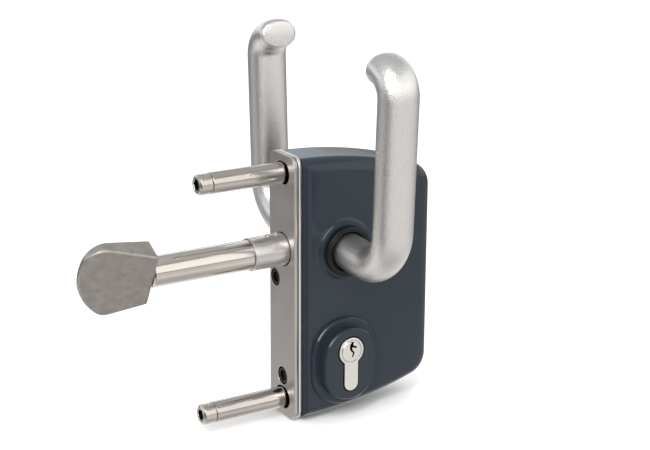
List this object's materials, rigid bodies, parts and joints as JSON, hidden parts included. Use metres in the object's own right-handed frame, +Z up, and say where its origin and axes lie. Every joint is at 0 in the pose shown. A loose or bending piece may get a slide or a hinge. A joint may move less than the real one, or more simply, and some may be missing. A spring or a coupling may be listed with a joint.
{
  "type": "gate lock box with turning bolt",
  "caption": "Surface-mounted steel gate lock box with two bent lever handles, a key cylinder and a spade-headed bolt that turns behind the post.",
  "frame": {"origin": "middle of the face plate's outer face, which lies on the gate post", "axes": "-X towards the gate post, along the bolt; -Y out of the front face; +Z up"},
  "size_m": [0.2145, 0.1576, 0.2189],
  "materials": {
    "box_paint": "semi-gloss anthracite powder coat",
    "plate_steel": "brushed stainless, bright edges",
    "bush_plastic": "glossy black",
    "bronze": "plain sintered bronze",
    "handle_alloy": "satin anodised",
    "screw_steel": "zinc plated",
    "gear_steel": "machined",
    "shaft_steel": "satin turned",
    "polished_steel": "polished stainless",
    "cast_steel": "matte investment cast",
    "nickel": "nickel plated",
    "brass": "plain"
  },
  "bodies": {
    "case": {"housing": "box_paint", "face_plate": "plate_steel", "back_plate": "plate_steel", "handle_bushes": "bush_plastic", "thrust_washers": "bronze", "shaft_bearing": "bronze", "cylinder_body": "nickel", "driver_pins": "brass", "pin_springs": "screw_steel", "cylinder_screw": "screw_steel", "plate_screw": "screw_steel", "fixing_pins": "polished_steel", "fixing_end_screws": "cast_steel", "fixing_bolts": "screw_steel", "fixing_washers": "screw_steel"},
    "handle": {"handle_front": "handle_alloy", "handle_rear": "handle_alloy", "handle_grub_screws": "screw_steel", "spindle": "screw_steel", "follower": "gear_steel", "locking_disc": "gear_steel"},
    "bolt": {"bolt_shaft": "shaft_steel", "bolt_gear": "gear_steel", "gear_pin": "screw_steel", "retaining_ring": "screw_steel", "shaft_grub_screws": "shaft_steel", "bolt_rod": "polished_steel", "bolt_head": "cast_steel"},
    "plug": {"plug_front": "nickel", "plug_rear": "nickel", "cylinder_cam": "gear_steel", "key_pins": "brass"},
    "slide": {"locking_slide": "gear_steel"}
  },
  "joints": [
    {"name": "handle_turn", "type": "hinge", "parent": "case", "child": "handle", "pos_m": [0.03, 0, 0.0225], "axis": [0, 1, 0], "range_deg": [0, 90]},
    {"name": "bolt_turn", "type": "hinge", "parent": "case", "child": "bolt", "pos_m": [0, 0, 0.0225], "axis": [1, 0, 0], "range_deg": [-90, 0]},
    {"name": "plug_turn", "type": "hinge", "parent": "case", "child": "plug", "pos_m": [0.03, 0, -0.036], "axis": [0, -1, 0], "range_deg": [0, 30]},
    {"name": "slide_lift", "type": "slide", "parent": "case", "child": "slide", "axis": [0, 0, 1], "range_m": [0, 0.00642]}
  ],
  "couplings": [
    {"joint": "bolt_turn", "follows": "handle_turn", "ratio": -1},
    {"joint": "slide_lift", "follows": "plug_turn", "m_per_rad": 0.012258}
  ]
}
